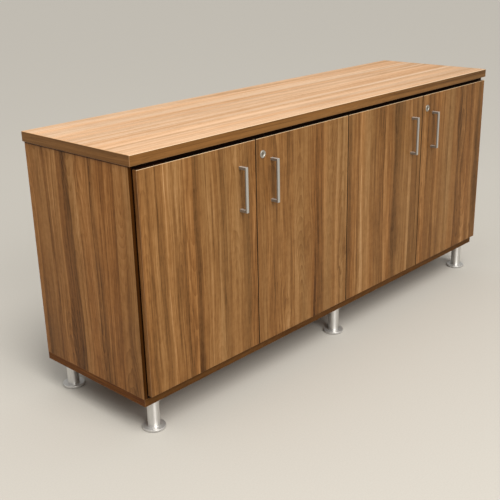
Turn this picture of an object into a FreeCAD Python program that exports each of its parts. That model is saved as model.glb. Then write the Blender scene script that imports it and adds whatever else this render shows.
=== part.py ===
import FreeCAD, Part
import math
import os
import Sketcher
from FreeCAD import Vector, Placement, Rotation

# Office credenza: a long low storage cabinet with a thick laminated top, two
# pairs of full overlay doors, bar pulls, cam locks and six round steel legs.
# Millimetres, +Z up, X along the length, the doors face -Y.  The origin lies on
# the floor under the middle of the whole object's box, pulls included.

doc = FreeCAD.newDocument("OfficeCredenza")

# ----------------------------------------------------------------- dimensions
sheet = doc.addObject("Spreadsheet::Sheet", "Dims")
DIMS = [
    ("top_w", 1830, "length of the top"),
    ("top_d", 486, "depth of the top"),
    ("top_thk", 30, "thickness of the top"),
    ("total_ht", 832, "overall height"),
    ("leg_ht", 100, "floor to underside of the base board"),
    ("base_thk", 24, "thickness of the base board"),
    ("panel_thk", 18, "carcass board thickness"),
    ("top_over", 6, "overhang of the top past each side"),
    ("front_y", -226.5, "y of the front edge of the top"),
    ("face_y", -231.5, "y of the door faces"),
    ("carc_y", -211, "y of the carcass front"),
    ("carc_back", 257.5, "y of the carcass back"),
    ("door_thk", 16, "door thickness"),
    ("door_w", 446.5, "door width"),
    ("door_ht", 656, "door height"),
    ("door_z", 135, "height of the door bottom edge"),
    ("door_x", 899, "distance from centre to the outer door edge"),
    ("door_gap", 4, "gap between neighbouring doors"),
    ("band_thk", 2, "edge band thickness, doors, top and base"),
    ("band_rad", 1.1, "rounding of the edge bands"),
    ("slab_rad", 1.5, "rounding of the edge bands of the top"),
    ("thin_band", 1, "edge band thickness, carcass fronts and shelves"),
    ("back_thk", 6, "back panel thickness"),
    ("rebate", 10, "width of the rebate that takes the back panel"),
    ("rail_d", 90, "depth of the rails under the top"),
    ("shelf_z", 452, "underside of the adjustable shelves"),
    ("shelf_back", 27, "set-back of the shelf front from the carcass front"),
    ("shelf_play", 1, "side play of a shelf"),
    ("pin_rad", 2.5, "shelf pin radius"),
    ("pin_len", 16, "shelf pin length"),
    ("pin_deep", 8, "depth of a shelf pin hole"),
    ("pin_pitch", 32, "pitch of the shelf pin holes"),
    ("pin_y_front", -150, "front row of shelf pin holes"),
    ("pin_y_back", 190, "back row of shelf pin holes"),
    ("cup_rad", 17.4, "hinge cup radius"),
    ("cup_hole", 17.5, "radius of the cup hole in the door"),
    ("cup_deep", 12.5, "depth of the cup hole"),
    ("cup_in", 22.5, "cup centre to door edge"),
    ("hinge_lo", 90, "lower hinge above the door bottom"),
    ("hinge_hi", 566, "upper hinge above the door bottom"),
    ("pull_in", 66.5, "bar pull centre to the free door edge"),
    ("pull_top", 586, "upper pull post above the door bottom"),
    ("pull_cc", 128, "distance between the pull posts"),
    ("pull_len", 136, "length of the pull, over its posts"),
    ("bar_w", 10, "width of the pull"),
    ("bar_t", 5, "thickness of the pull bar"),
    ("post_w", 8, "height of a pull post"),
    ("pull_out", 28, "projection of the pull from the door face"),
    ("lock_in", 27.5, "lock centre to the free door edge"),
    ("lock_up", 607, "lock centre above the door bottom"),
    ("rose_rad", 12, "radius of the lock rosette"),
    ("barrel_rad", 9.5, "radius of the lock barrel"),
    ("core_rad", 6, "radius of the lock core"),
    ("cam_len", 36, "lock cam, axis to tip"),
    ("seam_x", 450.5, "distance from centre to the seam of a door pair"),
    ("bolt_in", 18, "bolt centre to the seam"),
    ("bolt_y", -204.5, "y of the bolt axis"),
    ("bolt_rad", 3, "radius of the sliding bolt"),
    ("leg_x", 855, "outer legs from the centre"),
    ("leg_yf", -178.5, "y of the front legs"),
    ("leg_yb", 215.5, "y of the back legs"),
    ("tube_rad", 19, "leg tube radius"),
    ("tube_wall", 1.5, "leg tube wall"),
    ("foot_rad", 35, "foot flange radius"),
    ("foot_thk", 7, "foot flange thickness"),
    ("glide_thk", 1.5, "floor glide thickness"),
    ("glide_rad", 31, "floor glide radius"),
    ("plate_rad", 30, "leg mounting plate radius"),
    ("plate_thk", 2.5, "leg mounting plate thickness"),
]
for i, (alias, value, note) in enumerate(DIMS, start=1):
    sheet.set("A%d" % i, note)
    sheet.set("B%d" % i, str(value))
    sheet.setAlias("B%d" % i, alias)
doc.recompute()
D = {alias: float(value) for alias, value, note in DIMS}

NODES = []          # finished sub-parts, in order


def node(obj, label):
    obj.Label = label
    NODES.append(obj)
    return obj


def ex(text):
    """Dims.alias for every alias word in an arithmetic expression."""
    out, word = "", ""
    for ch in text + " ":
        if ch.isalnum() or ch == "_" or (ch == "." and word):
            word += ch
        else:
            out += ("Dims." + word) if word in D else word
            word = ""
            out += ch
    return out.strip()


def place(obj, x="0", y="0", z="0"):
    for axis, text in (("x", x), ("y", y), ("z", z)):
        obj.setExpression("Placement.Base." + axis, ex(text))
    return obj


def box(name, length, width, height, x="0", y="0", z="0"):
    o = doc.addObject("Part::Box", name)
    o.setExpression("Length", ex(length))
    o.setExpression("Width", ex(width))
    o.setExpression("Height", ex(height))
    return place(o, x, y, z)


TURN = {"z": Rotation(), "y": Rotation(Vector(1, 0, 0), -90), "x": Rotation(Vector(0, 1, 0), 90),
        "-z": Rotation(Vector(1, 0, 0), 180), "-y": Rotation(Vector(1, 0, 0), 90), "-x": Rotation(Vector(0, 1, 0), -90)}


def cyl(name, radius, height, x="0", y="0", z="0", along="z"):
    o = doc.addObject("Part::Cylinder", name)
    o.setExpression("Radius", ex(radius))
    o.setExpression("Height", ex(height))
    o.Placement = Placement(Vector(0, 0, 0), TURN[along])
    return place(o, x, y, z)


def cone(name, r1, r2, height, x, y, z, along="z"):
    o = doc.addObject("Part::Cone", name)
    o.setExpression("Radius1", ex(r1))
    o.setExpression("Radius2", ex(r2))
    o.setExpression("Height", ex(height))
    o.Placement = Placement(Vector(0, 0, 0), TURN[along])
    return place(o, x, y, z)


def fuse(name, shapes):
    o = doc.addObject("Part::MultiFuse", name)
    o.Shapes = shapes
    return o


def cut(name, base, tool):
    o = doc.addObject("Part::Cut", name)
    o.Base = base
    o.Tool = tool
    return o


def group(name, parts):
    o = doc.addObject("Part::Compound", name)
    o.Links = parts
    return o


def round_edges(name, base, radius, pick):
    """Part::Fillet on the edges that pick(edge) accepts."""
    doc.recompute()
    rows = [(n, radius, radius) for n, e in enumerate(base.Shape.Edges, start=1) if pick(e)]
    if not rows:
        raise RuntimeError("no edge to round on " + name)
    o = doc.addObject("Part::Fillet", name)
    o.Base = base
    o.Edges = rows
    return o


def on_planes(edge, planes):
    """How many of the planes (axis, value) hold the whole edge."""
    count = 0
    for axis, value in planes:
        if all(abs((v.X, v.Y, v.Z)[axis] - value) < 1e-6 for v in edge.Vertexes):
            count += 1
    return count


# ------------------------------------------------------- PartDesign helpers
def plane(body, role):
    return [f for f in body.Origin.OriginFeatures if f.Role == role][0]


def sketch(body, name, role, offset=None):
    s = body.newObject("Sketcher::SketchObject", name)
    s.AttachmentSupport = [(plane(body, role), "")]
    s.MapMode = "FlatFace"
    if offset is not None:
        s.setExpression("AttachmentOffset.Base.z", ex(offset))
    return s


def dim(s, kind, geo, pos, text, label, other=(-1, 1)):
    n = s.addConstraint(Sketcher.Constraint(kind, other[0], other[1], geo, pos, 10.0))
    s.renameConstraint(n, label)
    s.setExpression("Constraints." + label, ex(text))


def rect(s, u0, v0, du, dv, tag=""):
    g = s.GeometryCount
    p = [Vector(5, 5, 0), Vector(25, 5, 0), Vector(25, 25, 0), Vector(5, 25, 0)]
    for i in range(4):
        s.addGeometry(Part.LineSegment(p[i], p[(i + 1) % 4]), False)
    for i in range(4):
        s.addConstraint(Sketcher.Constraint("Coincident", g + i, 2, g + (i + 1) % 4, 1))
    s.addConstraint(Sketcher.Constraint("Horizontal", g))
    s.addConstraint(Sketcher.Constraint("Horizontal", g + 2))
    s.addConstraint(Sketcher.Constraint("Vertical", g + 1))
    s.addConstraint(Sketcher.Constraint("Vertical", g + 3))
    dim(s, "DistanceX", g, 1, u0, "u0" + tag)
    dim(s, "DistanceY", g, 1, v0, "v0" + tag)
    dim(s, "DistanceX", g, 2, du, "du" + tag, (g, 1))
    dim(s, "DistanceY", g + 1, 2, dv, "dv" + tag, (g + 1, 1))


def ring(s, u, v, radius, tag=""):
    g = s.GeometryCount
    s.addGeometry(Part.Circle(Vector(10, 10, 0), Vector(0, 0, 1), 4), False)
    dim(s, "DistanceX", g, 3, u, "cu" + tag)
    dim(s, "DistanceY", g, 3, v, "cv" + tag)
    n = s.addConstraint(Sketcher.Constraint("Radius", g, 4.0))
    s.renameConstraint(n, "cr" + tag)
    s.setExpression("Constraints.cr" + tag, ex(radius))


def pad(body, name, s, length, reverse=False):
    f = body.newObject("PartDesign::Pad", name)
    f.Profile = s
    f.setExpression("Length", ex(length))
    f.Reversed = reverse
    return f


def pocket(body, name, s, length=None, reverse=False):
    """A pocket that must remove material: the volume is compared."""
    doc.recompute()
    before = body.Shape.Volume
    f = body.newObject("PartDesign::Pocket", name)
    f.Profile = s
    if length is None:
        f.Type = "ThroughAll"
        f.Midplane = True
    else:
        f.setExpression("Length", ex(length))
        f.Reversed = reverse
    doc.recompute()
    if body.Shape.Volume > before - 1.0:
        raise RuntimeError("pocket %s cuts nothing" % name)
    return f


def turned(name, points):
    """A turned body: closed profile of (radius, height) pairs about its own Z."""
    b = doc.addObject("PartDesign::Body", name)
    s = sketch(b, name + "_profile", "XZ_Plane")
    n = len(points)
    for i in range(n):
        a, c = points[i], points[(i + 1) % n]
        s.addGeometry(Part.LineSegment(Vector(3 + 2 * i, i * i, 0), Vector(5 + 2 * i, (i + 1) * (i + 1), 0)), False)
    for i in range(n):
        s.addConstraint(Sketcher.Constraint("Coincident", i, 2, (i + 1) % n, 1))
    for i in range(n):
        r, z = points[i]
        if r == "0":
            s.addConstraint(Sketcher.Constraint("PointOnObject", i, 1, -2))
        else:
            dim(s, "DistanceX", i, 1, r, "r%d" % i)
        if z == "0":
            s.addConstraint(Sketcher.Constraint("PointOnObject", i, 1, -1))
        else:
            dim(s, "DistanceY", i, 1, z, "z%d" % i)
    rev = b.newObject("PartDesign::Revolution", name + "_turn")
    rev.Profile = s
    rev.ReferenceAxis = (s, ["V_Axis"])
    rev.Angle = 360.0
    return b


# -------------------------------------------------------- repeated fasteners
def panel_screw(name, x, y, z, along="z"):
    """Countersunk 5 x 40 screw; its head face is at the given point."""
    head = cone(name + "_head", "4.6", "2.5", "3", x, y, z, along)
    shank = cyl(name + "_shank", "2.5", "40", x, y, z, along)
    return fuse(name, [head, shank])


def plate_screw(name, x, y, z, along):
    """Pan head 3.5 x 11 screw; the point is under the head, on the plate."""
    step = {"z": (0, 0, -1), "-z": (0, 0, 1), "x": (-1, 0, 0), "-x": (1, 0, 0)}[along]
    head = cyl(name + "_head", "3.5", "2",
               "%s + %g" % (x, 2 * step[0]), "%s + %g" % (y, 2 * step[1]), "%s + %g" % (z, 2 * step[2]), along)
    shank = cyl(name + "_shank", "1.75", "11", x, y, z, along)
    return fuse(name, [head, shank])


TOP_Z = "total_ht - top_thk"            # underside of the top
BASE_TOP = "leg_ht + base_thk"
SIDE_X = "top_w / 2 - top_over"          # outer face of a side panel
INNER_X = SIDE_X + " - panel_thk"        # inner face of a side panel
RAIL_Z = TOP_Z + " - panel_thk"          # underside of the rails
BOTTOM_TOP = BASE_TOP + " + panel_thk"   # upper face of the bottom panel

# fixings, made first because their shapes also drill the boards
rail_screws = []
for k, sx in enumerate((-600, -200, 200, 600)):
    rail_screws.append(panel_screw("RailScrewF%d" % k, "%d" % sx, "carc_y + rail_d / 2", RAIL_Z))
    rail_screws.append(panel_screw("RailScrewB%d" % k, "%d" % sx, "carc_back - back_thk - rail_d / 2", RAIL_Z))
base_screws = []
for k, sx in enumerate((-700, -350, 0, 350, 700)):
    base_screws.append(panel_screw("BaseScrewF%d" % k, "%d" % sx, "-120", "leg_ht"))
    base_screws.append(panel_screw("BaseScrewB%d" % k, "%d" % sx, "160", "leg_ht"))

dowels_side_left, dowels_side_right = [], []
dowels_bottom, dowels_rail_f, dowels_rail_b, dowels_mid = [], [], [], []
for k, dy in enumerate((-150, 20, 190)):
    a = cyl("DowelBottomL%d" % k, "4", "30", "-(" + INNER_X + ") - 10", "%d" % dy, BASE_TOP + " + panel_thk / 2", "x")
    b = cyl("DowelBottomR%d" % k, "4", "30", INNER_X + " + 10", "%d" % dy, BASE_TOP + " + panel_thk / 2", "-x")
    c = cyl("DowelMidLow%d" % k, "4", "30", "0", "%d + 10" % dy, BOTTOM_TOP + " - 10")
    dowels_side_left.append(a)
    dowels_side_right.append(b)
    dowels_bottom += [a, b, c]
    dowels_mid.append(c)
for k, (dy, rails) in enumerate(((-190, "f"), (-145, "f"), (185, "b"), (230, "b"))):
    a = cyl("DowelRailL%d" % k, "4", "30", "-(" + INNER_X + ") - 10", "%d" % dy, TOP_Z + " - panel_thk / 2", "x")
    b = cyl("DowelRailR%d" % k, "4", "30", INNER_X + " + 10", "%d" % dy, TOP_Z + " - panel_thk / 2", "-x")
    dowels_side_left.append(a)
    dowels_side_right.append(b)
    (dowels_rail_f if rails == "f" else dowels_rail_b).extend([a, b])
for k, (dy, rails) in enumerate(((-165, "f"), (205, "b"))):
    c = cyl("DowelMidTop%d" % k, "4", "30", "0", "%d" % dy, RAIL_Z + " - 20")
    dowels_mid.append(c)
    (dowels_rail_f if rails == "f" else dowels_rail_b).append(c)

PAIRS = (("1", "2", "-seam_x"), ("3", "4", "seam_x"))

# hinge positions: door number, carcass face x, direction into the bay (+1/-1), cup centre x
HINGES = [("1", "-(" + INNER_X + ")", 1, "-door_x + cup_in"),
          ("2", "-panel_thk / 2", -1, "-door_gap / 2 - cup_in"),
          ("3", "panel_thk / 2", 1, "door_gap / 2 + cup_in"),
          ("4", INNER_X, -1, "door_x - cup_in")]
hinge_screws = {"1": [], "2": [], "3": [], "4": []}
for num, face, way, cupx in HINGES:
    for lv, hz in (("Lo", "door_z + hinge_lo"), ("Hi", "door_z + hinge_hi")):
        for q, dz in (("a", -16), ("b", 16)):
            # head on the 2.5 mm plate, shank into the board
            hinge_screws[num].append(plate_screw("HingeScrew%s%s%s" % (num, lv, q),
                                                 face + (" + 2.5" if way > 0 else " - 2.5"), "carc_y + 37",
                                                 hz + " + %d" % dz, "-x" if way > 0 else "x"))
leg_screws = []
LEGS = [("FL", "-leg_x", "leg_yf"), ("FC", "0", "leg_yf"), ("FR", "leg_x", "leg_yf"),
        ("BL", "-leg_x", "leg_yb"), ("BC", "0", "leg_yb"), ("BR", "leg_x", "leg_yb")]
for tag, lx, ly in LEGS:
    for q, (ax, ay) in enumerate(((1, 0), (0, 1), (-1, 0), (0, -1))):
        leg_screws.append(plate_screw("LegScrew%s%d" % (tag, q), "%s + %g" % (lx, 24 * ax),
                                      "%s + %g" % (ly, 24 * ay), "leg_ht - plate_thk", "z"))
strike_screws = []
for left, right, sx in PAIRS:
    for q, off in (("a", -4), ("b", 30)):
        strike_screws.append(plate_screw("StrikeScrew%s%s" % (left, q), "%s + %d" % (sx, off),
                                         "carc_y + 22", RAIL_Z + " - 2", "z"))

# ------------------------------------------------------------------- the top
top_core = box("TopCore", "top_w - 2 * band_thk", "top_d - 2 * band_thk", "top_thk",
               "-top_w / 2 + band_thk", "front_y + band_thk", TOP_Z)
node(cut("TopBoard", top_core, group("TopDrill", rail_screws)), "top_board")


def board_bands(prefix, x0, y0, z0, w, d, t, radius):
    """Four edge bands round a lying board; outer arrises rounded."""
    doc.recompute()
    parts = [
        box(prefix + "BandFront", w, "band_thk", t, x0, y0, z0),
        box(prefix + "BandBack", w, "band_thk", t, x0, y0 + " + " + d + " - band_thk", z0),
        box(prefix + "BandLeft", "band_thk", d + " - 2 * band_thk", t, x0, y0 + " + band_thk", z0),
        box(prefix + "BandRight", "band_thk", d + " - 2 * band_thk", t, x0 + " + " + w + " - band_thk", y0 + " + band_thk", z0),
    ]
    doc.recompute()
    bb = parts[0].Shape.BoundBox
    bk = parts[1].Shape.BoundBox
    planes = [(0, bb.XMin), (0, bb.XMax), (1, bb.YMin), (1, bk.YMax), (2, bb.ZMin), (2, bb.ZMax)]
    done = []
    for p in parts:
        done.append(round_edges(p.Name + "Round", p, radius, lambda e: on_planes(e, planes) >= 2))
    return group(prefix + "Bands", done)


node(board_bands("Top", "-top_w / 2", "front_y", TOP_Z, "top_w", "top_d", "top_thk", D["slab_rad"]), "top_edge_bands")

# -------------------------------------------------------------- side panels
def side_panel(prefix, left):
    b = doc.addObject("PartDesign::Body", prefix)
    s = sketch(b, prefix + "Outline", "YZ_Plane")
    rect(s, "carc_y + thin_band", BASE_TOP, "carc_back - carc_y - thin_band", TOP_Z + " - (" + BASE_TOP + ")")
    pad(b, prefix + "Board", s, "panel_thk")
    # rebate for the back panel, on the inner face
    s = sketch(b, prefix + "RebateShape", "YZ_Plane", ("panel_thk - rebate" if left else None))
    rect(s, "carc_back - back_thk", BASE_TOP + " - 1", "back_thk + 1", TOP_Z + " - (" + BASE_TOP + ") + 2")
    pocket(b, prefix + "Rebate", s, "rebate", True)
    # shelf pin holes, 8 mm deep from the inner face
    s = sketch(b, prefix + "PinShape", "YZ_Plane", ("panel_thk - pin_deep" if left else None))
    for i in range(-3, 4):
        for j, yy in enumerate(("pin_y_front", "pin_y_back")):
            ring(s, yy, "shelf_z - pin_rad + %d * pin_pitch" % i, "pin_rad", "p%d%d" % (i + 3, j))
    pocket(b, prefix + "PinHoles", s, "pin_deep", True)
    place(b, ("-(" + SIDE_X + ")" if left else INNER_X), "0", "0")
    return b


left_board = side_panel("SideLeftBoard", True)
right_board = side_panel("SideRightBoard", False)
node(cut("SidePanelLeft", left_board, group("SideLeftDrill", dowels_side_left + hinge_screws["1"])), "side_panel_left")
node(cut("SidePanelRight", right_board, group("SideRightDrill", dowels_side_right + hinge_screws["4"])), "side_panel_right")

# ------------------------------------------- partition, bottom, rails, back
mid = doc.addObject("PartDesign::Body", "MidBoard")
s = sketch(mid, "MidOutline", "YZ_Plane")
rect(s, "carc_y + thin_band", BOTTOM_TOP, "carc_back - back_thk - carc_y - thin_band", RAIL_Z + " - (" + BOTTOM_TOP + ")")
pad(mid, "MidPad", s, "panel_thk")
s = sketch(mid, "MidPins", "YZ_Plane")
for i in range(-3, 4):
    for j, yy in enumerate(("pin_y_front", "pin_y_back")):
        ring(s, yy, "shelf_z - pin_rad + %d * pin_pitch" % i, "pin_rad", "p%d%d" % (i + 3, j))
pocket(mid, "MidPinHoles", s)
place(mid, "-panel_thk / 2")
node(cut("CentrePartition", mid, group("MidDrill", dowels_mid + hinge_screws["2"] + hinge_screws["3"])), "centre_partition")

bottom_core = box("BottomCore", "2 * (" + INNER_X + ")", "carc_back - back_thk - carc_y - thin_band", "panel_thk",
                  "-(" + INNER_X + ")", "carc_y + thin_band", BASE_TOP)
node(cut("BottomPanel", bottom_core, group("BottomDrill", dowels_bottom + base_screws)), "bottom_panel")

bolt_holes = [cyl("RailBoltHole" + a, "bolt_rad + 0.6", "8", sx + " - bolt_in", "bolt_y", RAIL_Z) for a, b, sx in PAIRS]
rail_f = box("RailFrontCore", "2 * (" + INNER_X + ")", "rail_d - thin_band", "panel_thk", "-(" + INNER_X + ")", "carc_y + thin_band", RAIL_Z)
node(cut("RailFront", rail_f, group("RailFrontDrill", dowels_rail_f + rail_screws[0::2] + strike_screws + bolt_holes)),
     "top_rail_front")
rail_b = box("RailBackCore", "2 * (" + INNER_X + ")", "rail_d", "panel_thk", "-(" + INNER_X + ")",
             "carc_back - back_thk - rail_d", RAIL_Z)
node(cut("RailBack", rail_b, group("RailBackDrill", dowels_rail_b + rail_screws[1::2])), "top_rail_back")

node(box("BackPanel", "2 * (" + INNER_X + " + rebate) - 0.4", "back_thk", TOP_Z + " - (" + BASE_TOP + ")",
         "-(" + INNER_X + " + rebate) + 0.2", "carc_back - back_thk", BASE_TOP), "back_panel")

# ---------------------------------------------------------------- base board
base_core = box("BaseCore", "2 * (" + SIDE_X + ") - 2 * band_thk", "carc_back - carc_y - 2 * band_thk", "base_thk",
                "-(" + SIDE_X + ") + band_thk", "carc_y + band_thk", "leg_ht")
node(cut("BasePanel", base_core, group("BaseDrill", base_screws + leg_screws)), "base_panel")
node(board_bands("Base", "-(" + SIDE_X + ")", "carc_y", "leg_ht", "2 * (" + SIDE_X + ")", "(carc_back - carc_y)",
                 "base_thk", D["band_rad"]), "base_edge_bands")

# thin bands on the fronts of the sides, the partition, the bottom panel and the front rail
front_bands = [
    box("SideBandL", "panel_thk", "thin_band", TOP_Z + " - (" + BASE_TOP + ")", "-(" + SIDE_X + ")", "carc_y", BASE_TOP),
    box("SideBandR", "panel_thk", "thin_band", TOP_Z + " - (" + BASE_TOP + ")", INNER_X, "carc_y", BASE_TOP),
    box("MidBand", "panel_thk", "thin_band", RAIL_Z + " - (" + BOTTOM_TOP + ")", "-panel_thk / 2", "carc_y", BOTTOM_TOP),
    box("BottomBand", "2 * (" + INNER_X + ")", "thin_band", "panel_thk", "-(" + INNER_X + ")", "carc_y", BASE_TOP),
    box("RailBand", "2 * (" + INNER_X + ")", "thin_band", "panel_thk", "-(" + INNER_X + ")", "carc_y", RAIL_Z),
]
node(group("CarcassBands", front_bands), "carcass_front_bands")

# ------------------------------------------------------- shelves and pins
SHELF_W = INNER_X + " - panel_thk / 2 - 2 * shelf_play"
SHELF_Y = "carc_y + shelf_back"
SHELF_D = "carc_back - back_thk - 2 - carc_y - shelf_back"
for tag, x0 in (("left", "-(" + INNER_X + ") + shelf_play"), ("right", "panel_thk / 2 + shelf_play")):
    node(box("Shelf" + tag.capitalize(), SHELF_W, SHELF_D + " - thin_band", "panel_thk", x0, SHELF_Y + " + thin_band",
             "shelf_z"), "shelf_" + tag)
node(group("ShelfBands", [
    box("ShelfBandL", SHELF_W, "thin_band", "panel_thk", "-(" + INNER_X + ") + shelf_play", SHELF_Y, "shelf_z"),
    box("ShelfBandR", SHELF_W, "thin_band", "panel_thk", "panel_thk / 2 + shelf_play", SHELF_Y, "shelf_z")]),
    "shelf_edge_bands")
pins = []
for j, yy in enumerate(("pin_y_front", "pin_y_back")):
    zz = "shelf_z - pin_rad"
    pins.append(cyl("PinA%d" % j, "pin_rad", "pin_len", "-(" + INNER_X + ") - pin_deep", yy, zz, "x"))
    pins.append(cyl("PinB%d" % j, "pin_rad", "pin_len", "-panel_thk / 2 + pin_deep", yy, zz, "-x"))
    pins.append(cyl("PinC%d" % j, "pin_rad", "pin_len", "panel_thk / 2 - pin_deep", yy, zz, "x"))
    pins.append(cyl("PinD%d" % j, "pin_rad", "pin_len", INNER_X + " + pin_deep", yy, zz, "-x"))
node(group("ShelfPins", pins), "shelf_pins")

node(group("Dowels", dowels_side_left + dowels_side_right + dowels_mid), "carcass_dowels")
node(group("CarcassScrews", rail_screws + base_screws), "carcass_screws")
all_plate_screws = leg_screws + strike_screws
for num in ("1", "2", "3", "4"):
    all_plate_screws = all_plate_screws + hinge_screws[num]
node(group("PlateScrews", all_plate_screws), "plate_screws")

# ------------------------------------------------------------ hinge hardware
plates, arms = [], []
for num, face, way, cupx in HINGES:
    for lv, hz in (("Lo", "door_z + hinge_lo"), ("Hi", "door_z + hinge_hi")):
        tag = num + lv
        # cross-shaped mounting plate on the board, drilled for its two screws
        px = face if way > 0 else face + " - 2.5"
        upright = box("PlateUp" + tag, "2.5", "12", "44", px, "carc_y + 31", hz + " - 22")
        strip = box("PlateStrip" + tag, "2.5", "44", "13", px, "carc_y + 10", hz + " - 6.5")
        plates.append(cut("Plate" + tag, fuse("PlateBody" + tag, [upright, strip]),
                          group("PlateDrill" + tag, [q for q in hinge_screws[num] if lv in q.Name])))
        # sprung arm on the plate, its nose just behind the cup
        ax = (face + " + 2.5") if way > 0 else (face + " - 2.5 - 11.5")
        arm = box("ArmBar" + tag, "11.5", "68", "12", ax, "carc_y - 0.5", hz + " - 6")
        arm_r = round_edges("ArmRound" + tag, arm, 2.4, lambda e: e.Length > 60)
        top_x = (face + " + 14") if way > 0 else (face + " - 14")
        screws = [cyl("ArmScrewA" + tag, "3.4", "1", top_x, "carc_y + 20", hz, "x" if way > 0 else "-x"),
                  cyl("ArmScrewB" + tag, "3.4", "1", top_x, "carc_y + 48", hz, "x" if way > 0 else "-x")]
        arms.append(fuse("Arm" + tag, [arm_r] + screws))
node(group("HingePlates", plates), "hinge_plates")
node(group("HingeArms", arms), "hinge_arms")

# ---------------------------------------------- strike plates and bumpers
strikes = []
for left, right, sx in PAIRS:
    flat = box("StrikeFlat" + left, "76", "30", "2", sx + " - 32", "carc_y + 0.5", RAIL_Z + " - 2")
    lip = box("StrikeLip" + left, "28", "2", "16", sx + " + 15", "carc_y + 0.5", RAIL_Z + " - 16")
    hole = cyl("StrikeHole" + left, "bolt_rad + 0.6", "8", sx + " - bolt_in", "bolt_y", RAIL_Z + " - 4")
    strikes.append(cut("Strike" + left, fuse("StrikeBody" + left, [flat, lip]),
                       group("StrikeDrill" + left, [hole] + [q for q in strike_screws if q.Name.startswith("StrikeScrew" + left)])))
node(group("StrikePlates", strikes), "strike_plates")

bumpers = []
for k, bx in enumerate(("-seam_x - 40", "-seam_x + 60", "seam_x - 40", "seam_x + 60")):
    for lv, bz in (("Lo", BASE_TOP + " + 14.5"), ("Hi", RAIL_Z + " + 3.5")):
        stud = cyl("Bumper%s%d" % (lv, k), "3.5", "4.2", bx, "carc_y", bz, "-y")
        bumpers.append(round_edges("BumperDome%s%d" % (lv, k), stud, 1.0,
                                   lambda e: abs(e.BoundBox.YMin - (D["carc_y"] - 4.2)) < 1e-6 and e.BoundBox.YLength < 1e-6))
node(group("DoorBumpers", bumpers), "door_bumpers")

# ---------------------------------------------------------------------- legs
tubes_f, tubes_b, feet, leg_plates, glides = [], [], [], [], []
for tag, lx, ly in LEGS:
    tube = turned("Tube" + tag, [("tube_rad - tube_wall", "glide_thk + foot_thk"), ("tube_rad", "glide_thk + foot_thk"),
                                 ("tube_rad", "leg_ht - plate_thk"), ("tube_rad - tube_wall", "leg_ht - plate_thk")])
    place(tube, lx, ly, "0")
    (tubes_f if tag[0] == "F" else tubes_b).append(tube)
    # flange with a softened rim, a low weld collar and a plug up inside the tube
    foot = turned("Foot" + tag, [("0", "glide_thk"), ("foot_rad - 0.8", "glide_thk"), ("foot_rad", "glide_thk + 0.8"),
                                 ("foot_rad", "glide_thk + foot_thk - 1.6"), ("foot_rad - 0.5", "glide_thk + foot_thk - 0.7"),
                                 ("foot_rad - 1.7", "glide_thk + foot_thk - 0.1"), ("foot_rad - 3", "glide_thk + foot_thk"),
                                 ("tube_rad - tube_wall - 0.05", "glide_thk + foot_thk"),
                                 ("tube_rad - tube_wall - 0.05", "glide_thk + foot_thk + 16"), ("0", "glide_thk + foot_thk + 16")])
    place(foot, lx, ly, "0")
    feet.append(foot)
    glides.append(cyl("Glide" + tag, "glide_rad", "glide_thk", lx, ly, "0"))
    disc = cyl("LegDisc" + tag, "plate_rad", "plate_thk", lx, ly, "leg_ht - plate_thk")
    leg_plates.append(cut("LegPlate" + tag, disc, group("LegPlateDrill" + tag, [q for q in leg_screws if q.Name.startswith("LegScrew" + tag)])))
node(group("FrontLegTubes", tubes_f), "front_leg_tubes")
node(group("BackLegTubes", tubes_b), "back_leg_tubes")
node(group("LegFeet", feet), "leg_feet")
node(group("LegPlates", leg_plates), "leg_mounting_plates")
node(group("FootGlides", glides), "foot_glides")

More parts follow.
